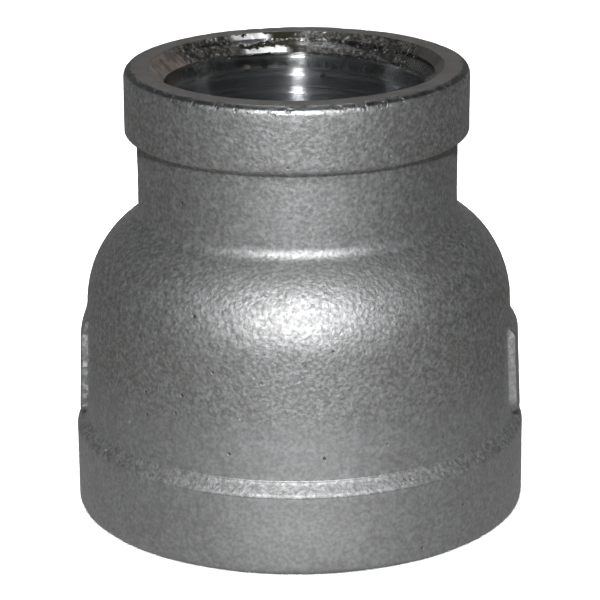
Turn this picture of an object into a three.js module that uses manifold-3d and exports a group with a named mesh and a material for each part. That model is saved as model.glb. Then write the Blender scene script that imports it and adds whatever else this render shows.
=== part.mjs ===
// Concentric reducer: a banded, internally threaded pipe fitting that joins a 1-1/2 inch
// pipe to a 1 inch pipe on the same axis. It is one stainless steel casting.
//
// Millimetres, +Z up. The origin is the centre of the large end's face, and +Z runs along
// the axis towards the small end.

import * as THREE from 'three';
import { mergeVertices } from 'three/addons/utils/BufferGeometryUtils.js';
import Module from 'manifold-3d';

// ---------------------------------------------------------------- driving dimensions

const LENGTH = 52.4;                 // face to face

const LARGE_BAND_RADIUS = 26.6;      // the reinforcing collar round the large end
const LARGE_BAND_HEIGHT = 9.5;       // up to where its chamfer starts
const LARGE_BAND_CHAMFER_TOP = 10.65;
const CHAMFER_EDGE = 0.7;            // rounding of the chamfer's edge and of its foot

const BELL_FOOT_RADIUS = 25.5;       // where the bell leaves the chamfer
const BELL_TOP_RADIUS = 24.95;       // where the wall turns into the shoulder
const BELL_TOP = 24.4;
const SHOULDER_ARC = 12;
const NECK_RADIUS = 18.65;
const NECK_FILLET = 1.8;

const SMALL_BAND_RADIUS = 20;
const SMALL_BAND_BOTTOM = 44.7;
const SMALL_BAND_LOWER_EDGE = 0.4;   // rounding of the collar's lower edge
const SMALL_BAND_FILLET = 0.6;       // where the collar's underside meets the neck

const LARGE_FACE_EDGE = 0.6;         // rounding of each end face's outer edge
const SMALL_FACE_EDGE = 1.05;

// The raised pads on the sides of the bell. They stand out by their height and slope back
// into the wall over the length of their fade, which ends at their top.
const PAD_HALF_WIDTH = 5.4;
const PAD_BOTTOM = 11;
const PAD_LOWER_CORNER = 2.3;
const PAD_UPPER_CORNER = 1;
const PAD_DRAFT = 0.25;              // slope of the lower end
const PAD_TURN = -0.0375;            // radians about Z, of both pads together
const RIGHT_PAD = { direction: PAD_TURN, height: 0.85, top: 22.8, fade: 2 };
const LEFT_PAD = { direction: PAD_TURN + Math.PI, height: 0.75, top: 24.4, fade: 4 };

// Taper pipe threads, 11.5 turns to the inch, with the taper of 1 in 16 on the diameter.
const PITCH = 25.4 / 11.5;
const TAPER = 1 / 32;                // on the radius
const FLANK_ANGLE = Math.PI / 6;
const CREST_FLAT = 0.1 * PITCH;
const ROOT_FLAT = 0.04 * PITCH;
const THREAD_RUN_OUT = PITCH;        // the last turn fades into the bore

const SMALL_END = { pitchRadius: 31.461 / 2, countersink: 17.1, threadLength: 15.6 };
const LARGE_END = { pitchRadius: 46.287 / 2, countersink: 24.55, threadLength: 17.2 };

const WALL = 3;                      // of the shoulder and the hollow under it
const CAVITY_FOOT = 19.6;            // where the hole for the large thread opens into the hollow

const SEGMENTS = 40;                 // round the axis, in the casting and in its threads
const STEP = 2 * Math.PI / SEGMENTS;

// Where each thread's groove crosses its face: half-way between two of the casting's edges.
const THREAD_START = 25.5 * STEP;

const STEEL = new THREE.MeshStandardMaterial({ color: 0x9a9b9b, roughness: 0.55, metalness: 1 });

// ---------------------------------------------------------------- solids

const wasm = await Module();
wasm.setup();

function solidFromGeometry(geometry) {
  const bare = geometry.clone();
  bare.deleteAttribute('normal');
  bare.deleteAttribute('uv');
  const merged = mergeVertices(bare, 1e-5);
  return new wasm.Manifold(new wasm.Mesh({
    numProp: 3,
    vertProperties: new Float32Array(merged.attributes.position.array),
    triVerts: new Uint32Array(merged.index.array),
  }));
}

function geometryFromSolid(solid) {
  const mesh = solid.getMesh();
  const geometry = new THREE.BufferGeometry();
  geometry.setAttribute('position', new THREE.BufferAttribute(new Float32Array(mesh.vertProperties), 3));
  geometry.setIndex(new THREE.BufferAttribute(new Uint32Array(mesh.triVerts), 1));
  geometry.computeVertexNormals();
  return geometry;
}

// Points of an arc in the (radius, height) plane, both ends included.
function arc(centreR, centreZ, radius, fromAngle, toAngle, steps) {
  const points = [];
  for (let i = 0; i <= steps; i += 1) {
    const angle = THREE.MathUtils.lerp(fromAngle, toAngle, i / steps);
    points.push([centreR + radius * Math.cos(angle), centreZ + radius * Math.sin(angle)]);
  }
  return points;
}

// A closed body of revolution about Z from a closed outline of [radius, height] points.
// LatheGeometry turns its profile about Y, so the result is stood up onto Z.
function revolve(outline) {
  const profile = [...outline, outline[0]].map(([r, z]) => new THREE.Vector2(r, z));
  return new THREE.LatheGeometry(profile, SEGMENTS).rotateX(Math.PI / 2);
}

// A closed body through a row of sections. Each section is { angle, outline }: a closed
// outline of [radius, height] points in the half-plane at that angle about Z.
function loft(sections) {
  const count = sections[0].outline.length;
  const positions = [];
  for (const { angle, outline } of sections) {
    for (const [r, z] of outline) positions.push(r * Math.cos(angle), r * Math.sin(angle), z);
  }
  const index = [];
  for (let s = 0; s + 1 < sections.length; s += 1) {
    for (let i = 0; i < count; i += 1) {
      const here = s * count + i;
      const next = s * count + (i + 1) % count;
      index.push(here, next + count, next, here, here + count, next + count);
    }
  }
  const last = (sections.length - 1) * count;
  for (let i = 1; i + 1 < count; i += 1) {
    index.push(0, i, i + 1);
    index.push(last, last + i + 1, last + i);
  }
  const geometry = new THREE.BufferGeometry();
  geometry.setAttribute('position', new THREE.Float32BufferAttribute(positions, 3));
  geometry.setIndex(index);
  return geometry;
}

// ---------------------------------------------------------------- threads

// Distance from the pitch line to the crest and to the root of the truncated 60 degree V.
const CREST_OFFSET = (PITCH / 2 - CREST_FLAT) / 2 / Math.tan(FLANK_ANGLE);
const ROOT_OFFSET = (PITCH / 2 - ROOT_FLAT) / 2 / Math.tan(FLANK_ANGLE);
const THREAD_HEIGHT = CREST_OFFSET + ROOT_OFFSET;

// The space that cutting a right-hand internal taper thread leaves empty: a core with a
// helical ridge, as a body to cut away. It starts in the air one turn outside the face.
// outward is +1 for a thread that opens upwards, -1 for one that opens downwards.
function threadSpace(end, faceZ, outward) {
  const positions = [];
  const firstStep = -SEGMENTS;
  const lastStep = Math.round((end.threadLength + THREAD_RUN_OUT) / PITCH * SEGMENTS);
  for (let i = firstStep; i <= lastStep; i += 1) {
    const depth = i * PITCH / SEGMENTS;
    const past = Math.max(0, depth - end.threadLength) / THREAD_RUN_OUT;
    const pitchLine = end.pitchRadius - TAPER * depth - past * 1.1 * THREAD_HEIGHT;
    const crestR = pitchLine - CREST_OFFSET;
    const rootR = pitchLine + ROOT_OFFSET;
    const section = [
      [crestR, (CREST_FLAT - PITCH) / 2],
      [rootR, -ROOT_FLAT / 2],
      [rootR, ROOT_FLAT / 2],
      [crestR, (PITCH - CREST_FLAT) / 2],
    ];
    const angle = THREAD_START - outward * i * STEP;
    for (const [r, along] of section) {
      positions.push(r * Math.cos(angle), r * Math.sin(angle), faceZ - outward * (depth + along));
    }
  }

  // Vertex k of the section at a step; k = 4 is the first one of the next turn.
  const vertex = (step, k) => (k < 4 ? 4 * step + k : 4 * (step + SEGMENTS));
  const steps = lastStep - firstStep;
  const triangles = [];
  for (let s = 0; s < steps; s += 1) {
    const strips = s + 1 + SEGMENTS <= steps ? 4 : 3;
    for (let k = 0; k < strips; k += 1) {
      triangles.push([vertex(s, k), vertex(s + 1, k), vertex(s + 1, k + 1)]);
      triangles.push([vertex(s, k), vertex(s + 1, k + 1), vertex(s, k + 1)]);
    }
  }

  // Each end closes with a fan from the axis to the last turn's edge and the step beside it.
  const nearRim = [];
  const farRim = [];
  for (let s = 0; s <= SEGMENTS; s += 1) {
    nearRim.push(vertex(s, 0));
    farRim.push(vertex(steps - SEGMENTS + s, 3));
  }
  nearRim.push(vertex(0, 3), vertex(0, 2), vertex(0, 1), vertex(0, 0));
  farRim.push(vertex(steps, 2), vertex(steps, 1), vertex(steps, 0), farRim[0]);
  const closings = [[nearRim, firstStep, 1], [farRim, lastStep, -1]];
  for (const [rim, step, side] of closings) {
    const centre = positions.length / 3;
    positions.push(0, 0, faceZ - outward * step * PITCH / SEGMENTS);
    for (let i = 0; i + 1 < rim.length; i += 1) {
      const pair = side > 0 ? [rim[i + 1], rim[i]] : [rim[i], rim[i + 1]];
      triangles.push([centre, ...pair]);
    }
  }

  const geometry = new THREE.BufferGeometry();
  geometry.setAttribute('position', new THREE.Float32BufferAttribute(positions, 3));
  geometry.setIndex(triangles.flat());
  return geometry;
}

// ---------------------------------------------------------------- the casting

function smallBand() {
  const edge = SMALL_BAND_LOWER_EDGE;
  const bottom = SMALL_BAND_BOTTOM;
  const rimR = SMALL_BAND_RADIUS - SMALL_FACE_EDGE;
  return [
    ...arc(NECK_RADIUS + SMALL_BAND_FILLET, bottom - SMALL_BAND_FILLET, SMALL_BAND_FILLET,
      Math.PI, Math.PI / 2, 2),
    ...arc(SMALL_BAND_RADIUS - edge, bottom + edge, edge, -Math.PI / 2, 0, 2),
    ...arc(rimR, LENGTH - SMALL_FACE_EDGE, SMALL_FACE_EDGE, 0, Math.PI / 2, 4),
  ];
}

// Replaces a corner of a straight-sided outline with an arc in three points.
function rounded(before, corner, after, radius) {
  const point = new THREE.Vector2(...corner);
  const towardsBefore = new THREE.Vector2(...before).sub(point).normalize();
  const towardsAfter = new THREE.Vector2(...after).sub(point).normalize();
  const half = Math.acos(towardsBefore.dot(towardsAfter)) / 2;
  const cut = radius / Math.tan(half);
  const bisector = towardsBefore.clone().add(towardsAfter).normalize();
  const start = point.clone().addScaledVector(towardsBefore, cut);
  const middle = point.clone().addScaledVector(bisector, radius / Math.sin(half) - radius);
  const end = point.clone().addScaledVector(towardsAfter, cut);
  return [start.toArray(), middle.toArray(), end.toArray()];
}

function bellAndNeck() {
  const shoulderCentreR = BELL_TOP_RADIUS - SHOULDER_ARC;
  const filletCentreR = NECK_RADIUS + NECK_FILLET;
  const reach = SHOULDER_ARC + NECK_FILLET;
  const turn = Math.acos((filletCentreR - shoulderCentreR) / reach);
  const filletCentreZ = BELL_TOP + reach * Math.sin(turn);
  return [
    ...arc(shoulderCentreR, BELL_TOP, SHOULDER_ARC, 0, turn, 7),
    ...arc(filletCentreR, filletCentreZ, NECK_FILLET, Math.PI + turn, Math.PI, 3).slice(1),
  ];
}

// The collar's side, its chamfer and the foot of the bell.
function largeBand() {
  const rimR = LARGE_BAND_RADIUS - LARGE_FACE_EDGE;
  const side = [LARGE_BAND_RADIUS, LARGE_FACE_EDGE];
  const edge = [LARGE_BAND_RADIUS, LARGE_BAND_HEIGHT];
  const foot = [BELL_FOOT_RADIUS, LARGE_BAND_CHAMFER_TOP];
  const wallTop = [BELL_TOP_RADIUS, BELL_TOP];
  return [
    ...arc(rimR, LARGE_FACE_EDGE, LARGE_FACE_EDGE, -Math.PI / 2, 0, 3),
    ...rounded(side, edge, foot, CHAMFER_EDGE),
    ...rounded(edge, foot, wallTop, CHAMFER_EDGE),
  ];
}

// Radius of the plain hole that a thread is cut in.
function coredRadius(end) {
  return end.pitchRadius - TAPER * (end.threadLength + THREAD_RUN_OUT) - CREST_OFFSET;
}

// From the small end's face down to the large end's face: a countersink, the hole for the
// small thread, the domed hollow, the hole for the large thread and its countersink.
function inside() {
  const smallHole = coredRadius(SMALL_END);
  const largeHole = coredRadius(LARGE_END);
  const domeCentreR = BELL_TOP_RADIUS - SHOULDER_ARC;
  const dome = SHOULDER_ARC - WALL;
  const domeTurn = Math.acos((smallHole - domeCentreR) / dome);
  return [
    [SMALL_END.countersink, LENGTH],
    [smallHole, LENGTH - (SMALL_END.countersink - smallHole)],
    ...arc(domeCentreR, BELL_TOP, dome, domeTurn, 0, 6),
    [domeCentreR + dome, CAVITY_FOOT],
    [largeHole, CAVITY_FOOT],
    [largeHole, LARGE_END.countersink - largeHole],
    [LARGE_END.countersink, 0],
  ];
}

// How far a pad's end draws back at a distance across the pad, because its corners are round.
function cornerRise(across, corner) {
  const intoCorner = Math.max(0, Math.abs(across) - (PAD_HALF_WIDTH - corner));
  return corner - Math.sqrt(corner ** 2 - intoCorner ** 2);
}

// A raised pad that follows the bell's wall.
function pad({ direction, height, top, fade }) {
  const wallRadius = (z) => THREE.MathUtils.mapLinear(
    z, LARGE_BAND_CHAMFER_TOP, BELL_TOP, BELL_FOOT_RADIUS, BELL_TOP_RADIUS,
  );
  const embed = 0.7;
  const steps = 12;
  const sections = [];
  for (let i = 0; i <= steps; i += 1) {
    const across = -Math.cos(Math.PI * i / steps) * PAD_HALF_WIDTH;
    const low = PAD_BOTTOM + cornerRise(across, PAD_LOWER_CORNER);
    const high = top - cornerRise(across, PAD_UPPER_CORNER);
    sections.push({
      angle: direction + across / BELL_TOP_RADIUS,
      outline: [
        [wallRadius(low) - embed, low],
        [wallRadius(low) + height, low + PAD_DRAFT],
        [wallRadius(high - fade) + height, high - fade],
        [wallRadius(high) - 0.02, high],
        [wallRadius(high) - embed, high],
      ],
    });
  }
  return loft(sections);
}

function reducerBody() {
  const outline = [...largeBand(), ...bellAndNeck(), ...smallBand(), ...inside()];
  let body = solidFromGeometry(revolve(outline));
  for (const side of [RIGHT_PAD, LEFT_PAD]) {
    body = body.add(solidFromGeometry(pad(side)));
  }
  body = body.subtract(solidFromGeometry(threadSpace(SMALL_END, LENGTH, 1)));
  body = body.subtract(solidFromGeometry(threadSpace(LARGE_END, 0, -1)));
  const mesh = new THREE.Mesh(geometryFromSolid(body), STEEL);
  mesh.name = 'reducer_body';
  return mesh;
}

const reducer = new THREE.Group();
reducer.add(reducerBody());

export default reducer;
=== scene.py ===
"""Looks of the concentric reducer: one stainless casting, bead-blasted outside and turned inside.

The casting is made here as one closed mesh: a turned blank with the cast surface's small
unevenness and its two pads, from which two helical thread bodies are cut. It replaces the
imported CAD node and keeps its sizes. Lengths are metres; MM turns millimetres into them.
"""

import math

import bmesh
import bpy
import numpy as np
from mathutils import Matrix, Vector, noise


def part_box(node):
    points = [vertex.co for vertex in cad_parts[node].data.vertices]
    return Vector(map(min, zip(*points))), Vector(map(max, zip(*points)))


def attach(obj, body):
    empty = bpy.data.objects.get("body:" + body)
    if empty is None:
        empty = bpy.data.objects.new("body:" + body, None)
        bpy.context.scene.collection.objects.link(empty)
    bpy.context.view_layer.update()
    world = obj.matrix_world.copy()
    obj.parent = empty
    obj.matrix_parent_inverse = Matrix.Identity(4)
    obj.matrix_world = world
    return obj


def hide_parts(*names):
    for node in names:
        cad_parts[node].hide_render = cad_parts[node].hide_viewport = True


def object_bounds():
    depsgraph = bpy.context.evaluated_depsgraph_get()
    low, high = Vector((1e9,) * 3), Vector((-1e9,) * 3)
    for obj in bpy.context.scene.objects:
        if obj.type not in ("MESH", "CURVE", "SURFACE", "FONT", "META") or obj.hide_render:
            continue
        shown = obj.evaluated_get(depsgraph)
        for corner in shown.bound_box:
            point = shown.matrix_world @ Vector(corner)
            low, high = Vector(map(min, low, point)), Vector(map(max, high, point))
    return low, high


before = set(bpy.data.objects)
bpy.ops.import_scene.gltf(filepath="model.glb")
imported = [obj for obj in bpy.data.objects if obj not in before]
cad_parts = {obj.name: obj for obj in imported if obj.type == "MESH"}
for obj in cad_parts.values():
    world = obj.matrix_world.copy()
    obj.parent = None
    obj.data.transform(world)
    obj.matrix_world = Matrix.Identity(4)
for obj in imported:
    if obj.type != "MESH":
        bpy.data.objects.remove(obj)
cad_low, cad_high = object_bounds()

MM = 0.001

# ------------------------------------------------------------------ sizes of the casting

FOOT_Z = cad_low.z
FACE_Z = cad_high.z
LENGTH = FACE_Z - FOOT_Z
body_low, body_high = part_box("reducer_body")
LARGE_BAND_RADIUS = (body_high.y - body_low.y) / 2
CENTRE = Vector(((cad_low.x + cad_high.x) / 2, (cad_low.y + cad_high.y) / 2, FOOT_Z))

LARGE_BAND_HEIGHT = 9.5 * MM
CHAMFER_TOP = 10.65 * MM
BELL_FOOT_RADIUS = 25.5 * MM
BELL_TOP_RADIUS = 24.95 * MM
BELL_TOP = 24.4 * MM
SHOULDER_ARC = 12 * MM
NECK_RADIUS = 18.65 * MM
NECK_FILLET = 1.8 * MM
SMALL_BAND_RADIUS = 20 * MM
SMALL_BAND_BOTTOM = 44.7 * MM
BAND_LOWER_EDGE = 0.4 * MM
BAND_FILLET = 0.6 * MM
LARGE_FACE_EDGE = 0.6 * MM           # rounding of each end face's outer edge
SMALL_FACE_EDGE = 1.05 * MM
CHAMFER_EDGE = 0.7 * MM
WALL = 3 * MM
CAVITY_FOOT = 19.6 * MM

# The pads on the sides of the bell. Each slopes back into the wall below its top.
PAD_HALF_WIDTH = 5.4 * MM
PAD_BOTTOM = 11 * MM
PAD_CORNER = 2.3 * MM                # of the lower corners
PAD_TOP_CORNER = 1 * MM
PAD_SLOPE = 0.38 * MM                # width of the slope round each pad
WOBBLE_SIZE = 0.65 * MM              # of the lumps along the left pad's edge
BACK_WOBBLE = 0.15                   # how ragged the pads' back edges are beside the front ones
PAD_TURN = -0.0375                   # radians about the axis, of both pads together
RIGHT_PAD = {"height": 0.85 * MM, "top": 22.8 * MM, "fade": 2 * MM, "wobble": 0.04 * MM}
LEFT_PAD = {"height": 0.75 * MM, "top": 24.4 * MM, "fade": 4 * MM, "wobble": 0.5 * MM}
PADS = [(PAD_TURN, RIGHT_PAD), (PAD_TURN + math.pi, LEFT_PAD)]

# The threads: 60 degree flanks, 11.5 turns per inch and a taper of 1 in 16 on the diameter.
PITCH = 25.4 / 11.5 * MM
TAPER = 1 / 32                       # on the radius
FLANK_TAN = math.tan(math.radians(30))
CREST_FLAT = 0.1 * PITCH
ROOT_FLAT = 0.04 * PITCH
THREAD_ROUND = 0.035 * MM            # rounding where the flanks meet the crest and the root
CREST_OFFSET = (PITCH / 2 - CREST_FLAT) / 2 / FLANK_TAN
ROOT_OFFSET = (PITCH / 2 - ROOT_FLAT) / 2 / FLANK_TAN
RUN_OUT = PITCH                      # length over which each groove fades out at its end
RUN_OUT_DEPTH = 1.1 * (CREST_OFFSET + ROOT_OFFSET)
THREAD_START = math.radians(229.5)   # where each groove crosses its face, about the axis
SMALL_END = {"pitch_radius": 31.461 / 2 * MM, "countersink": 17.1 * MM, "length": 15.6 * MM}
LARGE_END = {"pitch_radius": 46.287 / 2 * MM, "countersink": 24.55 * MM, "length": 17.2 * MM}

# The cast surface's unevenness: the size and the height of its waves, and its dents.
BROAD_WAVE, BROAD_HEIGHT = 9 * MM, 0.05 * MM
FINE_WAVE, FINE_HEIGHT = 2.6 * MM, 0.022 * MM
DENT_SIZE, DENT_DEPTH = 1.1 * MM, 0.25 * MM
DENT_REACH = 1.6 * MM                # how far from the end faces the dents go
DENT_THRESHOLD = 0.15                # noise below this leaves no dent

# How finely the mesh is divided.
BLANK_SEGMENTS = 300
THREAD_SEGMENTS = 144
ROW_STEP = 0.7 * MM
EDGE_STEP = 0.15 * MM                # along the end faces' rounded edges
BAND_EDGE_STEP = 0.12 * MM
BAND_FILLET_STEP = 0.2 * MM
NECK_FILLET_STEP = 0.25 * MM
DOME_STEP = 1.2 * MM
INSIDE_STEP = 4 * MM
FINE_STEP = 0.12 * MM                # across the pads' upright edges
PAD_ROW_STEP = 0.28 * MM             # along them
COLUMN_GAP = 0.002                   # radians kept between even columns and fine ones
SHARP_ANGLE = math.radians(28)

CUT_OVERSHOOT = 0.04 * MM            # how far the casting stood above its faced ends
COUNTERSINK_DEPTH = 2.6 * MM         # beyond the middle of either countersink's cone
WELD_DISTANCE = 0.001 * MM
FLAT = 1e-7                          # height, in metres, within which a face counts as flat

SKIN, MACHINED, THREAD = range(3)    # material indices


# ------------------------------------------------------------------ outline of the blank

def wall_radius(z):
    """Radius of the bell's drafted wall at a height."""
    t = (z - CHAMFER_TOP) / (BELL_TOP - CHAMFER_TOP)
    return BELL_FOOT_RADIUS + (BELL_TOP_RADIUS - BELL_FOOT_RADIUS) * t


def arc(centre_r, centre_z, radius, start, end, step):
    """Points of an arc in the (radius, height) plane, about one step apart."""
    count = max(2, math.ceil(abs(end - start) * radius / step))
    angles = np.linspace(start, end, count + 1)
    return [(centre_r + radius * math.cos(a), centre_z + radius * math.sin(a)) for a in angles]


def spaced(points, step):
    """The same outline with points added so that none are further apart than step."""
    out = []
    for (r0, z0), (r1, z1) in zip(points, points[1:]):
        count = max(1, math.ceil(math.hypot(r1 - r0, z1 - z0) / step))
        for i in range(count):
            t = i / count
            out.append((r0 + (r1 - r0) * t, z0 + (z1 - z0) * t))
    return out + [points[-1]]


def rounded(before, corner, after, radius):
    """An arc of the given radius that rounds a corner of a straight-sided outline."""
    p, a, b = Vector(corner), Vector(before), Vector(after)
    to_a, to_b = (a - p).normalized(), (b - p).normalized()
    half = to_a.angle(to_b) / 2
    start, end = p + to_a * radius / math.tan(half), p + to_b * radius / math.tan(half)
    centre = p + (to_a + to_b).normalized() * radius / math.sin(half)
    steps = 4
    out = []
    for i in range(steps + 1):
        v = (start - centre).lerp(end - centre, i / steps).normalized() * radius + centre
        out.append((v.x, v.y))
    return out


def large_band():
    """From the large end's face up the band, over the chamfer and up the bell's wall."""
    edge = LARGE_FACE_EDGE
    side = (LARGE_BAND_RADIUS, edge)
    corner = (LARGE_BAND_RADIUS, LARGE_BAND_HEIGHT)
    foot = (BELL_FOOT_RADIUS, CHAMFER_TOP)
    wall = (BELL_TOP_RADIUS, BELL_TOP)
    beside_pads = np.arange(PAD_BOTTOM, BELL_TOP, PAD_ROW_STEP)
    return [
        *arc(LARGE_BAND_RADIUS - edge, edge - CUT_OVERSHOOT, edge, -math.pi / 2, 0, EDGE_STEP),
        *rounded(side, corner, foot, CHAMFER_EDGE),
        *rounded(corner, foot, wall, CHAMFER_EDGE),
        *[(wall_radius(z), z) for z in beside_pads],
    ]


def bell_and_neck():
    """The shoulder's arc and the fillet that turns it up into the neck."""
    centre_r = BELL_TOP_RADIUS - SHOULDER_ARC
    fillet_r = NECK_RADIUS + NECK_FILLET
    reach = SHOULDER_ARC + NECK_FILLET
    turn = math.acos((fillet_r - centre_r) / reach)
    fillet_z = BELL_TOP + reach * math.sin(turn)
    return [
        *arc(centre_r, BELL_TOP, SHOULDER_ARC, 0, turn, ROW_STEP),
        *arc(fillet_r, fillet_z, NECK_FILLET, math.pi + turn, math.pi, NECK_FILLET_STEP)[1:],
    ]


def small_band():
    """From the top of the neck under, round and over the small band to its face."""
    edge = BAND_LOWER_EDGE
    bottom = SMALL_BAND_BOTTOM
    fillet_r = NECK_RADIUS + BAND_FILLET
    rim_r, rim_z = SMALL_BAND_RADIUS - SMALL_FACE_EDGE, LENGTH - SMALL_FACE_EDGE + CUT_OVERSHOOT
    return [
        *arc(fillet_r, bottom - BAND_FILLET, BAND_FILLET, math.pi, math.pi / 2, BAND_FILLET_STEP),
        *arc(SMALL_BAND_RADIUS - edge, bottom + edge, edge, -math.pi / 2, 0, BAND_EDGE_STEP),
        *arc(rim_r, rim_z, SMALL_FACE_EDGE, 0, math.pi / 2, EDGE_STEP),
    ]


def cored_radius(end):
    """Radius of the plain hole in which a thread is cut: that of the crests at its far end."""
    return end["pitch_radius"] - TAPER * (end["length"] + RUN_OUT) - CREST_OFFSET


def inside():
    """From the small end's face to the large end's: countersinks, plain holes and the dome."""
    small, large = cored_radius(SMALL_END), cored_radius(LARGE_END)
    centre_r = BELL_TOP_RADIUS - SHOULDER_ARC
    dome = SHOULDER_ARC - WALL
    turn = math.acos((small - centre_r) / dome)
    return [
        (SMALL_END["countersink"], LENGTH),
        (small, LENGTH - (SMALL_END["countersink"] - small)),
        *arc(centre_r, BELL_TOP, dome, turn, 0, DOME_STEP),
        (centre_r + dome, CAVITY_FOOT),
        (large, CAVITY_FOOT),
        (large, LARGE_END["countersink"] - large),
        (LARGE_END["countersink"], 0),
    ]


# ------------------------------------------------------------------ the cast surface

def smooth_step(x):
    """Rises smoothly from 0 to 1 as x does, and is held at both ends."""
    x = np.clip(x, 0, 1)
    return x * x * (3 - 2 * x)


def pad_height(points):
    """How far each point of the bell is pushed out by the pads on its sides."""
    azimuth = np.arctan2(points[:, 1], points[:, 0])
    z = points[:, 2]
    wobble = np.array([noise.noise(Vector(p) / WOBBLE_SIZE) for p in points])
    front = smooth_step(0.5 - points[:, 1] / (1.5 * PAD_HALF_WIDTH))
    wobble *= BACK_WOBBLE + (1 - BACK_WOBBLE) * front
    height = np.zeros(len(points))
    for direction, pad in PADS:
        turn = (azimuth - direction + math.pi) % (2 * math.pi) - math.pi
        upper = z > pad["top"] - PAD_CORNER
        corner = np.where(upper, PAD_TOP_CORNER, PAD_CORNER)
        beyond_side = np.abs(turn) * BELL_TOP_RADIUS - (PAD_HALF_WIDTH - corner)
        beyond_end = np.maximum(z - (pad["top"] - corner), PAD_BOTTOM + corner - z)
        outside = np.hypot(np.maximum(beyond_side, 0), np.maximum(beyond_end, 0)) - corner
        faded = smooth_step((pad["top"] - z) / pad["fade"])
        edge = smooth_step(-(outside + wobble * pad["wobble"]) / PAD_SLOPE)
        height += pad["height"] * edge * faded
    return height


def unevenness(points):
    """The slight waviness of a cast surface, with small dents near the faced rims."""
    out = np.empty(len(points))
    for i, p in enumerate(points):
        v = Vector(p)
        broad, fine = noise.noise(v / BROAD_WAVE), noise.noise(v / FINE_WAVE)
        out[i] = BROAD_HEIGHT * broad + FINE_HEIGHT * fine
        near_rim = 1 - min(v.z, LENGTH - v.z) / DENT_REACH
        if near_rim > 0:
            dent = max(0, noise.noise(v / DENT_SIZE) - DENT_THRESHOLD)
            out[i] -= DENT_DEPTH * min(near_rim, 0.5) * dent
    return out


def column_angles():
    """Angles of the blank's columns: even, and close together at the pads' upright edges."""
    even = np.arange(BLANK_SEGMENTS) * 2 * math.pi / BLANK_SEGMENTS
    reach = PAD_CORNER + 3 * FINE_STEP
    middle = PAD_HALF_WIDTH + 2 * FINE_STEP - reach / 2
    angles = even
    for direction, _ in PADS:
        for sign in (-1, 1):
            centre = (direction + sign * middle / BELL_TOP_RADIUS) % (2 * math.pi)
            half = reach / 2 / BELL_TOP_RADIUS
            count = round(reach / FINE_STEP)
            fine = centre + np.linspace(-half, half, count + 1)
            away = np.abs((angles - centre + math.pi) % (2 * math.pi) - math.pi)
            angles = np.concatenate([angles[away > half + COLUMN_GAP], fine % (2 * math.pi)])
    return np.sort(angles)


def make_mesh(name, points, faces, kinds):
    """A mesh standing on the large end's face, with a material index for each face."""
    mesh = bpy.data.meshes.new(name)
    mesh.from_pydata((points + np.array(CENTRE)).tolist(), [], faces.tolist())
    mesh.polygons.foreach_set("material_index", np.broadcast_to(kinds, len(faces)).astype(np.int32))
    mesh.validate()
    return mesh


def blank_mesh():
    """The casting before its threads are cut, as a closed mesh."""
    outside = spaced([*large_band(), *bell_and_neck(), *small_band()], ROW_STEP)
    inner = spaced(inside(), INSIDE_STEP)
    outline = np.array([*outside, *inner])
    rows, angles = len(outline), column_angles()
    columns = len(angles)

    tangent = np.roll(outline, -1, 0) - np.roll(outline, 1, 0)
    normal = np.stack([tangent[:, 1], -tangent[:, 0]], 1)
    normal /= np.linalg.norm(normal, axis=1, keepdims=True)

    r, z = outline[:, 0][None, :], outline[:, 1][None, :]
    c, s = np.cos(angles)[:, None], np.sin(angles)[:, None]
    points = np.stack([r * c, r * s, z + 0 * c], 2).reshape(-1, 3)
    push = np.stack([normal[:, 0] * c, normal[:, 0] * s, normal[:, 1] + 0 * c], 2).reshape(-1, 3)
    row = np.tile(np.arange(rows), columns)
    cast = row < len(outside)

    wall = cast & (points[:, 2] > LARGE_BAND_HEIGHT) & (points[:, 2] < BELL_TOP)
    radius = np.hypot(points[wall, 0], points[wall, 1])
    padded = np.maximum(radius, wall_radius(points[wall, 2]) + pad_height(points[wall]))
    points[wall, :2] *= (padded / radius)[:, None]
    points[cast] += push[cast] * unevenness(points[cast])[:, None]
    points[:, 2] = np.clip(points[:, 2], 0, LENGTH)

    here = np.arange(columns)[:, None] * rows + np.arange(rows)[None, :]
    beside = np.roll(here, -1, 0)
    quads = np.stack([here, beside, np.roll(beside, -1, 1), np.roll(here, -1, 1)], 2)
    quads = quads.reshape(-1, 4)
    height = points[quads][:, :, 2]
    faced = np.ptp(height, axis=1) < FLAT
    middle = height.mean(1)
    near_face = np.minimum(middle, LENGTH - middle) < COUNTERSINK_DEPTH
    countersunk = near_face & (quads[:, 0] % rows >= len(outside) - 1)
    kinds = np.where(faced | countersunk, MACHINED, SKIN)
    return make_mesh("casting_blank", points, quads, kinds)


# ------------------------------------------------------------------ threads

def thread_profile():
    """Distance along the pitch from the groove's middle, and height above the pitch line."""
    half = PITCH / 2
    shares = np.array([0, 0.05, 0.13, 0.36, 0.64, 0.85, 0.92, 1])
    along = np.concatenate([-half * shares[:0:-1], half * shares[:-1]])
    height = (PITCH / 4 - np.abs(along)) / FLANK_TAN
    height = soft_limit(height, ROOT_OFFSET)
    return along, -soft_limit(-height, CREST_OFFSET)


def soft_limit(values, limit):
    """The values, held below a limit, with the corner rounded."""
    gap = values - limit
    return limit + 0.5 * (gap - np.sqrt(gap * gap + THREAD_ROUND**2))


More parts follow.
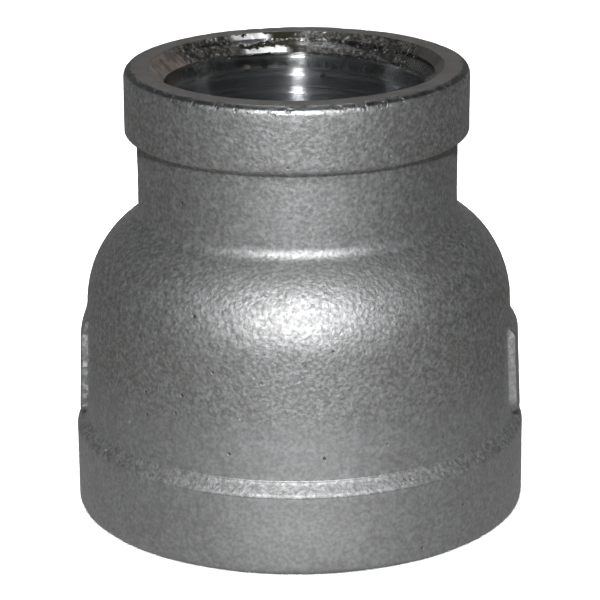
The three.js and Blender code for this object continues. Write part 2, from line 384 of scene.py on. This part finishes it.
def thread_mesh(name, end, face_z, outward):
    """What cutting a right-hand internal taper thread removes: a core with a helical ridge.

    It starts in the air one turn outside the face. outward is +1 for a thread that opens
    upwards and -1 for one that opens downwards.
    """
    along, height = thread_profile()
    first = -THREAD_SEGMENTS
    last = round((end["length"] + RUN_OUT) / PITCH * THREAD_SEGMENTS)
    step = np.arange(first, last + 1)
    depth = step * PITCH / THREAD_SEGMENTS
    fade = np.maximum(0, depth - end["length"]) / RUN_OUT * RUN_OUT_DEPTH
    radius = (end["pitch_radius"] - TAPER * depth - fade)[:, None] + height[None, :]
    angle = THREAD_START - outward * step * 2 * math.pi / THREAD_SEGMENTS
    z = face_z - outward * (depth[:, None] + along[None, :])
    points = np.stack([radius * np.cos(angle)[:, None], radius * np.sin(angle)[:, None], z], 2)

    # Each turn's last row of points is joined to the first row of the next turn.
    width, steps = len(along), last - first
    triangles = []
    for s in range(steps):
        for k in range(width):
            a, b = s * width + k, (s + 1) * width + k
            c, d = a + 1, b + 1
            if k == width - 1:
                c, d = (s + THREAD_SEGMENTS) * width, (s + 1 + THREAD_SEGMENTS) * width
                if s + 1 + THREAD_SEGMENTS > steps:
                    continue
            triangles += [(a, b, d), (a, d, c)]

    # A fan of triangles round a point on the axis closes each end.
    turn = np.arange(THREAD_SEGMENTS + 1)
    near = [*(turn * width), *range(width - 1, -1, -1)]
    far = [*((steps - THREAD_SEGMENTS + turn) * width + width - 1)]
    far += [*range(steps * width + width - 2, steps * width - 1, -1), far[0]]
    count = points.shape[0] * width
    triangles += [(count, after, before) for before, after in zip(near, near[1:])]
    triangles += [(count + 1, before, after) for before, after in zip(far, far[1:])]
    tips = np.array([[0, 0, face_z - outward * depth[0]], [0, 0, face_z - outward * depth[-1]]])
    points = np.concatenate([points.reshape(-1, 3), tips])
    return make_mesh(name, points, np.array(triangles), THREAD)


def cut(body, mesh):
    """Cuts a closed mesh out of the body."""
    tool = bpy.data.objects.new(mesh.name, mesh)
    for material in body.data.materials:
        mesh.materials.append(material)
    bpy.context.scene.collection.objects.link(tool)
    modifier = body.modifiers.new("cut", "BOOLEAN")
    modifier.operation = "DIFFERENCE"
    modifier.solver = "MANIFOLD"
    modifier.object = tool
    bpy.context.view_layer.update()
    shaped = body.evaluated_get(bpy.context.evaluated_depsgraph_get())
    result = bpy.data.meshes.new_from_object(shaped)
    body.modifiers.clear()
    body.data = result
    bpy.data.objects.remove(tool)


def weld(mesh):
    """Joins the points that the cuts left on top of each other."""
    shape = bmesh.new()
    shape.from_mesh(mesh)
    bmesh.ops.remove_doubles(shape, verts=shape.verts, dist=WELD_DISTANCE)
    shape.to_mesh(mesh)
    shape.free()


def make_reducer(materials):
    """The finished casting; the materials come in the order of their indices."""
    body = bpy.data.objects.new("reducer_casting", blank_mesh())
    bpy.context.scene.collection.objects.link(body)
    for material in materials:
        body.data.materials.append(material)
    cut(body, thread_mesh("small_thread", SMALL_END, LENGTH, 1))
    cut(body, thread_mesh("large_thread", LARGE_END, 0, -1))
    mesh = body.data
    mesh.name = "reducer_casting"
    weld(mesh)
    mesh.polygons.foreach_set("use_smooth", [True] * len(mesh.polygons))
    mesh.set_sharp_from_angle(angle=SHARP_ANGLE)
    return body


# ------------------------------------------------------------------ material nodes

class NodeTree:
    """Short calls for adding nodes to a material or to the world."""

    def __init__(self, owner):
        owner.use_nodes = True
        self.tree = owner.node_tree

    def set(self, socket, value):
        """Links a socket to another, or gives it a fixed value."""
        if isinstance(value, bpy.types.NodeSocket):
            self.tree.links.new(value, socket)
        else:
            socket.default_value = value

    def add(self, kind, *inputs, **values):
        """A node whose first inputs are given in order and whose others are given by name."""
        node = self.tree.nodes.new(kind)
        for key, value in values.items():
            self.set(node.inputs[key.replace("_", " ")], value)
        for socket, value in zip(node.inputs, inputs):
            self.set(socket, value)
        return node

    def maths(self, operation, *inputs):
        """One step of arithmetic on sockets or numbers."""
        node = self.add("ShaderNodeMath", *inputs)
        node.operation = operation
        return node.outputs[0]

    def ramp(self, value, low, high, to_low=0.0, to_high=1.0):
        """Maps low..high smoothly to to_low..to_high, held at both ends."""
        node = self.add("ShaderNodeMapRange", value, low, high, to_low, to_high)
        node.interpolation_type = "SMOOTHSTEP"
        return node.outputs[0]


class Nodes(NodeTree):
    """What the materials share: patterns and places, measured in millimetres."""

    def __init__(self, name):
        self.material = bpy.data.materials.new(name)
        super().__init__(self.material)
        self.shader = self.tree.nodes["Principled BSDF"]
        coordinates = self.add("ShaderNodeTexCoord")
        scale = self.add("ShaderNodeVectorMath", coordinates.outputs["Object"])
        scale.operation = "SCALE"
        scale.inputs["Scale"].default_value = 1 / MM
        self.millimetres = scale.outputs[0]

    def noise(self, size, detail=2, roughness=0.5, vector=None):
        """Noise from 0 to 1 whose grains are about size millimetres across."""
        node = self.add(
            "ShaderNodeTexNoise",
            Vector=vector or self.millimetres,
            Scale=1 / size,
            Detail=detail,
            Roughness=roughness,
        )
        return node.outputs["Fac"]

    def dimples(self, size):
        """Distance from scattered points that are about size millimetres apart."""
        node = self.add("ShaderNodeTexVoronoi", Vector=self.millimetres, Scale=1 / size)
        return node.outputs["Distance"]

    def mix(self, share, first, second):
        """The first colour, turning into the second as the share goes from 0 to 1."""
        node = self.tree.nodes.new("ShaderNodeMix")
        node.data_type = "RGBA"
        self.set(node.inputs["Factor"], share)
        self.set(node.inputs["A"], first)
        self.set(node.inputs["B"], second)
        return node.outputs["Result"]

    def bump(self, height, depth, strength=1.0):
        """Surface normal of a height from 0 to 1 that stands for depth millimetres."""
        node = self.add("ShaderNodeBump", Strength=strength, Distance=depth * MM, Height=height)
        return node.outputs["Normal"]

    def band(self, value, low, high, share):
        """The share where the value lies between low and high, and 0 elsewhere."""
        above, below = self.ramp(value, low, low + 0.1), self.ramp(value, high, high - 0.1)
        return self.maths("MULTIPLY", self.maths("MULTIPLY", above, below), share)

    def azimuth(self):
        """Angle about the axis in radians, from +X towards +Y."""
        split = self.add("ShaderNodeSeparateXYZ", self.millimetres)
        return self.maths("ARCTAN2", split.outputs["Y"], split.outputs["X"])

    def around_axis(self, middle, half_width, soft):
        """1 within an angle about the axis, in degrees from +X towards +Y, and 0 outside it."""
        turned = self.maths("SUBTRACT", self.azimuth(), math.radians(middle))
        away = self.maths("ABSOLUTE", self.maths("WRAP", turned, math.pi, -math.pi))
        return self.ramp(away, math.radians(half_width + soft), math.radians(half_width))

    def turned_grain(self, amount):
        """Makes the gloss that of tool marks running round the axis."""
        tangent = self.tree.nodes.new("ShaderNodeTangent")
        tangent.direction_type = "RADIAL"
        tangent.axis = "Z"
        self.set(self.shader.inputs["Tangent"], tangent.outputs[0])
        self.shader.inputs["Anisotropic"].default_value = amount
        self.shader.inputs["Anisotropic Rotation"].default_value = 0.25

    def finish(self, colour, roughness, normal):
        """Joins the results to a metal shader and gives the material."""
        self.set(self.shader.inputs["Base Color"], colour)
        self.set(self.shader.inputs["Roughness"], roughness)
        self.set(self.shader.inputs["Normal"], normal)
        self.shader.inputs["Metallic"].default_value = 1.0
        return self.material


OIL_COLOUR = (0.09, 0.088, 0.06, 1)
# Warm and near white: a stain, lightened as painted sheen.
STAIN_AND_SHEEN_COLOUR = (1.0, 0.85, 0.75, 1)
BARE_METAL_AND_GLINT_GREY = 0.95                        # grey of bare torn metal, also used for the painted glints and painted highlights

# Scattered spots: their spacing, the edge and the core of each as shares of the spacing, and the
# size of the patches that they lie in. Sizes are in millimetres.
PIN_HOLES = (2.6, 0.09, 0.05, 4)
# The glints are painted: near-white specks in the colour that stand in for facets catching the
# light.
PAINTED_GLINTS = (3.3, 0.06, 0.03, 5)

CHATTER_MARKS = 210                  # round the whole countersink

# Where the marks in the small end's mouth lie: the middle, half width and softness of each, in
# degrees round the axis from +X towards +Y.
TORN = (103, 11, 6)
# The torn bands are partly real bare metal and partly painted highlight: they are made near-white
# where the light's highlight falls.
TORN_AND_HIGHLIGHT_BANDS = [                       # each from one depth to another, in millimetres
    (0.05, 1.1, (110, 6, 5)),
    (0.85, 1.1, (88, 16, 6)),
    (1.45, 2.35, (104, 9, 5)),
]
OILY = [(60, 24, 14), (134, 12, 8)]
CHATTERED = [(24, 14, 6), (158, 8, 6)]
STAINED_AND_SHEEN = (168, 18, 8)

SKIN_BUMP = 0.045                    # millimetres
TOOL_MARK_BUMP = 0.02


def grey(value, warmth=0.0):
    """A colour near grey, whose red is raised and blue lowered by the warmth."""
    return (value * (1 + warmth), value, value * (1 - warmth), 1)


def radius_and_height(n):
    """Distance from the axis and height above the large end's face, in millimetres."""
    split = n.add("ShaderNodeSeparateXYZ", n.millimetres)
    x, y = split.outputs["X"], split.outputs["Y"]
    radius = n.maths("SQRT", n.maths("ADD", n.maths("MULTIPLY", x, x), n.maths("MULTIPLY", y, y)))
    return radius, n.maths("SUBTRACT", split.outputs["Z"], FOOT_Z / MM)


def coarseness(n, height_mm, chamfer):
    """Strength of the cast grain: least at the foot, most on the shoulder and the chamfer."""
    facing = n.add("ShaderNodeSeparateXYZ", n.add("ShaderNodeNewGeometry").outputs["Normal"])
    steps = [
        n.ramp(facing.outputs["Z"], 0.3, 0.7, 0.0, 0.25),
        n.ramp(height_mm, 31, 36, 0.0, -0.75),    # finer on the neck
        n.ramp(height_mm, 42, 46, 0.0, 0.55),     # and coarser again on the small band
        chamfer,
    ]
    coarse = n.ramp(height_mm, 13, 23, 0.25, 1.6)
    for step in steps:
        coarse = n.maths("ADD", coarse, step)
    return coarse


def scattered(n, spacing, edge, core, patches):
    """Small soft-edged spots, in patches only, as a share from 0 to 1."""
    spots = n.ramp(n.dimples(spacing), edge, core)
    return n.maths("MULTIPLY", spots, n.ramp(n.noise(patches), 0.45, 0.6))


def pits(n, height_mm, rim_wear):
    """Worn pits in the rim, pin holes all over and a mottling on the shoulder."""
    shoulder = n.maths("MULTIPLY", n.ramp(height_mm, 21, 25, 0.0, 0.22), n.ramp(height_mm, 35, 31))
    mottle = n.maths("MULTIPLY", n.ramp(n.noise(1.2, detail=4, roughness=0.7), 0.56, 0.68), shoulder)
    return n.maths("MAXIMUM", n.maths("MAXIMUM", rim_wear, scattered(n, *PIN_HOLES)), mottle)


def blasted_skin():
    """As-cast steel blasted with fine beads: coarser on top and on the slopes, with a few pin
    holes and painted glints, and burnished and pitted along the small end's rim, whose top
    edge is painted darker as shade."""
    n = Nodes("blasted_cast_steel")
    height_mm = radius_and_height(n)[1]
    chamfer = n.band(height_mm, LARGE_BAND_HEIGHT / MM - 0.3, CHAMFER_TOP / MM + 0.3, 1.0)
    coarse = coarseness(n, height_mm, chamfer)

    face = LENGTH / MM
    rim = n.ramp(height_mm, face - 1.5, face - 0.3)
    shaded_lip = n.ramp(height_mm, face - 0.5, face - 0.25)
    wear = n.noise(1.3, detail=3, roughness=0.6)
    burnished = n.maths("MULTIPLY", rim, n.ramp(wear, 0.42, 0.58))
    pitted = pits(n, height_mm, n.maths("MULTIPLY", rim, n.ramp(wear, 0.45, 0.34)))

    grain = n.noise(0.48, detail=3, roughness=0.6)
    grain = n.maths("ADD", n.maths("MULTIPLY", n.dimples(0.58), 0.3), grain)
    texture = n.maths("MULTIPLY", grain, coarse)
    texture = n.maths("MULTIPLY", texture, n.ramp(shaded_lip, 0, 1, 1.0, 0.4))
    height = n.maths("SUBTRACT", texture, n.maths("MULTIPLY", pitted, 1.5))

    stain = n.noise(3.5, detail=4, roughness=0.6)
    speckle = n.ramp(n.noise(0.42, detail=2, roughness=0.6), 0.32, 0.68)
    speckle = n.maths("MULTIPLY", speckle, n.ramp(coarse, 0.4, 1.2, 0.6, 0.95))
    colour = n.mix(n.ramp(stain, 0.35, 0.7), grey(0.60, -0.02), grey(0.55, -0.005))
    colour = n.mix(speckle, colour, grey(0.36, 0.02))
    colour = n.mix(n.maths("MULTIPLY", burnished, 0.6), colour, grey(0.72, -0.02))
    colour = n.mix(pitted, colour, grey(0.2, 0.03))
    # Painted shade: the top of the small end's rounded edge is darkened in the colour, where it
    # turns up towards the dim space above.
    colour = n.mix(n.maths("MULTIPLY", shaded_lip, 0.75), colour, grey(0.3, -0.06))
    # Painted glints: scattered specks made near-white in the colour.
    colour = n.mix(scattered(n, *PAINTED_GLINTS), colour, grey(BARE_METAL_AND_GLINT_GREY))

    roughness = n.ramp(n.noise(0.8), 0.3, 0.7, 0.54, 0.64)
    for share, change in ((burnished, -0.15), (shaded_lip, -0.15), (chamfer, 0.05)):
        roughness = n.maths("ADD", roughness, n.maths("MULTIPLY", share, change))
    return n.finish(colour, roughness, n.bump(height, SKIN_BUMP))


def torn_and_oiled(n, colour, roughness, height):
    """What the cutters left near the small end's mouth: torn bands painted near-white as highlights,
    chatter, painted glints and oil.
    """
    depth = n.maths("SUBTRACT", LENGTH / MM, radius_and_height(n)[1])
    mouth = n.maths("MULTIPLY", n.ramp(depth, 3.1, 2.5), n.ramp(depth, 0, 0.1))
    ragged = n.maths("ADD", depth, n.ramp(n.noise(1.2, detail=4, roughness=0.65), 0, 1, -0.6, 0.6))

    torn = n.maths("MULTIPLY", n.around_axis(*TORN), mouth)
    bright = 0.0
    for top, bottom, place in TORN_AND_HIGHLIGHT_BANDS:
        bright = n.maths("MAXIMUM", bright, n.band(ragged, top, bottom, n.around_axis(*place)))
    bright = n.maths("MULTIPLY", bright, mouth)
    colour = n.mix(torn, colour, OIL_COLOUR)
    # Painted highlight: the torn bands are made near-white in the colour where the light's highlight
    # falls on the torn metal.
    colour = n.mix(bright, colour, grey(BARE_METAL_AND_GLINT_GREY))
    lumps = n.maths("MULTIPLY", torn, n.noise(0.7, detail=3, roughness=0.5))
    height = n.maths("ADD", height, n.maths("MULTIPLY", lumps, 5))

    speckle = n.noise(0.5, detail=3, roughness=0.7)
    oily = n.maths("ADD", *[n.around_axis(*place) for place in OILY])
    oily = n.maths("MULTIPLY", oily, mouth)
    oil = n.maths("MULTIPLY", oily, n.ramp(speckle, 0.46, 0.56))
    # Painted glints: bright specks in the oily patches, made near-white in the colour.
    painted_glints_in_oil = n.maths("MULTIPLY", oily, n.ramp(speckle, 0.41, 0.33))
    colour = n.mix(n.maths("MULTIPLY", oil, 0.75), colour, OIL_COLOUR)
    colour = n.mix(painted_glints_in_oil, colour, grey(BARE_METAL_AND_GLINT_GREY))

    shining = n.maths("ADD", bright, painted_glints_in_oil)
    roughness = n.maths("ADD", roughness, n.maths("MULTIPLY", shining, 0.12))
    rolled = n.maths("MULTIPLY", shining, depth)
    height = n.maths("SUBTRACT", height, n.maths("MULTIPLY", rolled, 18))

    waves = n.maths("SINE", n.maths("MULTIPLY", n.azimuth(), CHATTER_MARKS))
    chatter = n.maths("ADD", *[n.around_axis(*place) for place in CHATTERED])
    chatter = n.maths("MULTIPLY", n.maths("MULTIPLY", chatter, mouth), waves)
    height = n.maths("ADD", height, n.maths("MULTIPLY", chatter, 2))
    colour = n.mix(n.ramp(chatter, 0.1, 0.7, 0.0, 0.75), colour, OIL_COLOUR)

    # Partly a real warm stain and partly painted sheen: the patch is made near-white in the colour
    # to brighten it.
    stain = n.maths("MULTIPLY", n.around_axis(*STAINED_AND_SHEEN), mouth)
    painted_sheen = n.ramp(n.noise(1.6, detail=3), 0.4, 0.6, 0.3, 1.0)
    colour = n.mix(n.maths("MULTIPLY", stain, painted_sheen), colour, STAIN_AND_SHEEN_COLOUR)
    return colour, roughness, height


def turned_steel():
    """The faced ends and countersinks: fine tool rings, with torn metal and oil on the cone."""
    n = Nodes("turned_steel")
    radius = radius_and_height(n)[0]
    rings = n.add("ShaderNodeTexNoise", Scale=7.0, Detail=3.0)
    rings.noise_dimensions = "1D"
    n.set(rings.inputs["W"], radius)
    scratches = n.noise(0.4, detail=3)
    height = n.maths("ADD", rings.outputs["Fac"], n.maths("MULTIPLY", scratches, 0.4))
    colour = n.mix(n.ramp(n.noise(2.5), 0.3, 0.7), grey(0.50, 0.03), grey(0.42, 0.04))
    roughness = n.ramp(scratches, 0.3, 0.7, 0.34, 0.46)
    colour, roughness, height = torn_and_oiled(n, colour, roughness, height)
    return n.finish(colour, roughness, n.bump(height, TOOL_MARK_BUMP))


def cut_thread():
    """Tapped steel: smooth flanks, drag marks along the turns, a little oil and dirt."""
    n = Nodes("cut_thread_steel")
    dirt = n.noise(1.1, detail=4, roughness=0.65)
    drag = n.add("ShaderNodeVectorMath", n.millimetres, (0.2, 0.2, 3.0))
    drag.operation = "MULTIPLY"
    streaks = n.noise(0.5, detail=2, vector=drag.outputs[0])
    colour = n.mix(n.ramp(dirt, 0.6, 0.75), grey(0.62, -0.02), grey(0.2, 0.05))
    roughness = n.ramp(streaks, 0.3, 0.7, 0.18, 0.24)
    n.turned_grain(1.0)
    height = n.maths("MULTIPLY", streaks, 0.12)
    colour, roughness, height = torn_and_oiled(n, colour, roughness, height)
    return n.finish(colour, roughness, n.bump(height, TOOL_MARK_BUMP))


def pale_floor():
    """Matt off-white, with hardly any pattern."""
    n = Nodes("pale_floor")
    colour = n.mix(n.noise(60), grey(0.80), grey(0.84))
    material = n.finish(colour, 0.75, n.bump(n.noise(4), 0.05, strength=0.2))
    n.shader.inputs["Metallic"].default_value = 0.0
    return material


# ------------------------------------------------------------------ stage, light and camera

CAMERA_DISTANCE = 334 * MM           # from the middle of the fitting's box
CAMERA_ELEVATION = math.radians(17.96)
CAMERA_PITCH = math.radians(18.36)
CAMERA_ROLL = math.radians(0.546)
CAMERA_ASIDE = 0.15 * MM
CAMERA_LENS = 169.6                  # millimetres
SENSOR_WIDTH = 36                    # millimetres

KEY_TINT = (0.98, 0.99, 1.0)
LIGHTS = {                           # distance, elevation, azimuth from the front, size, power
    "key": (0.6, 30, 0, 0.06, 3.42, KEY_TINT),
    "top": (0.6, 100, 0, 0.25, 0.12),
    "back": (1.0, 50, 180, 0.3, 0.4),
    "panel": (0.15, 0, 180, 36 * MM, 0.09),
    "floor_wash": (1.5, 90, 0, 8.0, 430.0),
}
PANEL_HEIGHT = 0.9 * LENGTH          # low enough to light the fitting's back alone

BOUNCES = [                          # radius, distance towards the camera, power
    (0.08, 0.05, 0.0095),
    (0.03, 0.062, 0.0026),
]
BOUNCE_TINT = (1.0, 0.995, 0.97)
BOUNCE_GAP = 0.01 * MM               # below the fitting's foot
FLOOR_GAP = 0.02 * MM

AMBIENT_TINT = (1.0, 1.0, 0.97, 1)
WORLD_ABOVE = 0.05
WORLD_BELOW = 0.10
HORIZON_BEGINS = 0.7                 # height on a unit sphere, down to which it is WORLD_ABOVE
HORIZON_ENDS = 0.15                  # and from which it is WORLD_BELOW
WORLD_LEFT_GAIN = 0.12               # share by which the far left is lighter
BACKDROP = 0.8                       # added for the camera

FLOOR_HALF_WIDTH = 4.0
FLOOR_THICKNESS = 0.01


def from_front(distance, elevation, azimuth=0.0):
    """A point seen from the middle of the box; azimuth 0 is the front, 90 degrees the right."""
    middle = (cad_low + cad_high) / 2
    flat = distance * math.cos(elevation)
    return middle + Vector(
        (flat * math.sin(azimuth), -flat * math.cos(azimuth), distance * math.sin(elevation))
    )


def make_camera():
    """A long lens a little above the fitting, pitched down and rolled very slightly."""
    data = bpy.data.cameras.new("camera")
    data.lens = CAMERA_LENS
    data.sensor_width = SENSOR_WIDTH
    data.clip_start = 0.01
    camera = bpy.data.objects.new("camera", data)
    bpy.context.scene.collection.objects.link(camera)
    ahead = Vector((0, math.cos(CAMERA_PITCH), -math.sin(CAMERA_PITCH)))
    level = Vector((1, 0, 0))
    upright = Vector((0, math.sin(CAMERA_PITCH), math.cos(CAMERA_PITCH)))
    c, s = math.cos(CAMERA_ROLL), math.sin(CAMERA_ROLL)
    turned = Matrix((c * level - s * upright, s * level + c * upright, -ahead)).transposed()
    place = from_front(CAMERA_DISTANCE, CAMERA_ELEVATION) + Vector((CAMERA_ASIDE, 0, 0))
    camera.matrix_world = Matrix.Translation(place) @ turned.to_4x4()
    bpy.context.scene.camera = camera


def area_light(name, distance, elevation, azimuth, size, power, tint=(1, 1, 1)):
    """A square soft light aimed at the fitting; its angles are in degrees."""
    data = bpy.data.lights.new(name, "AREA")
    data.size = size
    data.energy = power
    data.color = tint
    light = bpy.data.objects.new(name, data)
    bpy.context.scene.collection.objects.link(light)
    middle = (cad_low + cad_high) / 2
    place = from_front(distance, math.radians(elevation), math.radians(azimuth))
    turned = (middle - place).to_track_quat("-Z", "Y").to_matrix().to_4x4()
    light.matrix_world = Matrix.Translation(place) @ turned
    return light


def studio_world():
    """Dim surroundings, a little lighter towards the horizon and the ground, for the metal to
    reflect, and a pale backdrop for the camera."""
    world = bpy.data.worlds.new("studio")
    n = NodeTree(world)
    direction = n.add("ShaderNodeSeparateXYZ", n.add("ShaderNodeTexCoord").outputs["Generated"])
    height, across = direction.outputs["Z"], direction.outputs["X"]
    level = n.ramp(height, HORIZON_BEGINS, HORIZON_ENDS, WORLD_ABOVE, WORLD_BELOW)
    level = n.maths("MULTIPLY", level, n.maths("MULTIPLY_ADD", across, -WORLD_LEFT_GAIN, 1))
    camera_sees = n.add("ShaderNodeLightPath").outputs["Is Camera Ray"]
    background = n.tree.nodes["Background"]
    n.set(background.inputs["Color"], AMBIENT_TINT)
    n.set(background.inputs["Strength"], n.maths("MULTIPLY_ADD", camera_sees, BACKDROP, level))
    bpy.context.scene.world = world


def light_stage():
    """A small lamp high in front, softer ones above and behind, and a bright floor."""
    lights = {name: area_light(name, *values) for name, values in LIGHTS.items()}
    panel = lights["panel"]
    panel.data.shape = "RECTANGLE"
    panel.data.size_y = PANEL_HEIGHT
    panel.visible_camera = False
    lights["floor_wash"].visible_glossy = False
    for bounce in BOUNCES:
        floor_bounce(*bounce)
    studio_world()


def floor_bounce(radius, ahead, power):
    """A bright patch of floor under and before the fitting, as the metal sees it."""
    data = bpy.data.lights.new("floor_bounce", "AREA")
    data.shape = "DISK"
    data.size = 2 * radius
    data.energy = power
    data.color = BOUNCE_TINT
    light = bpy.data.objects.new("floor_bounce", data)
    bpy.context.scene.collection.objects.link(light)
    light.location = CENTRE - Vector((0, ahead, BOUNCE_GAP))
    light.rotation_euler.x = math.pi
    light.visible_camera = False
    light.visible_diffuse = False


def make_floor():
    """A wide flat slab just under the fitting, which the metal doesn't reflect."""
    half = FLOOR_HALF_WIDTH
    corners = [(-half, -half), (half, -half), (half, half), (-half, half)]
    top = FOOT_Z - FLOOR_GAP
    points = [(x, y, z) for z in (top - FLOOR_THICKNESS, top) for x, y in corners]
    faces = [(3, 2, 1, 0), (4, 5, 6, 7), (0, 1, 5, 4), (1, 2, 6, 5), (2, 3, 7, 6), (3, 0, 4, 7)]
    mesh = bpy.data.meshes.new("floor")
    mesh.from_pydata(points, [], faces)
    mesh.materials.append(pale_floor())
    floor = bpy.data.objects.new("floor", mesh)
    bpy.context.scene.collection.objects.link(floor)
    floor.visible_glossy = False


bpy.context.scene.view_settings.view_transform = "Standard"
make_camera()
light_stage()
make_floor()

casting = make_reducer([blasted_skin(), turned_steel(), cut_thread()])
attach(casting, "root")
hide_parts("reducer_body")
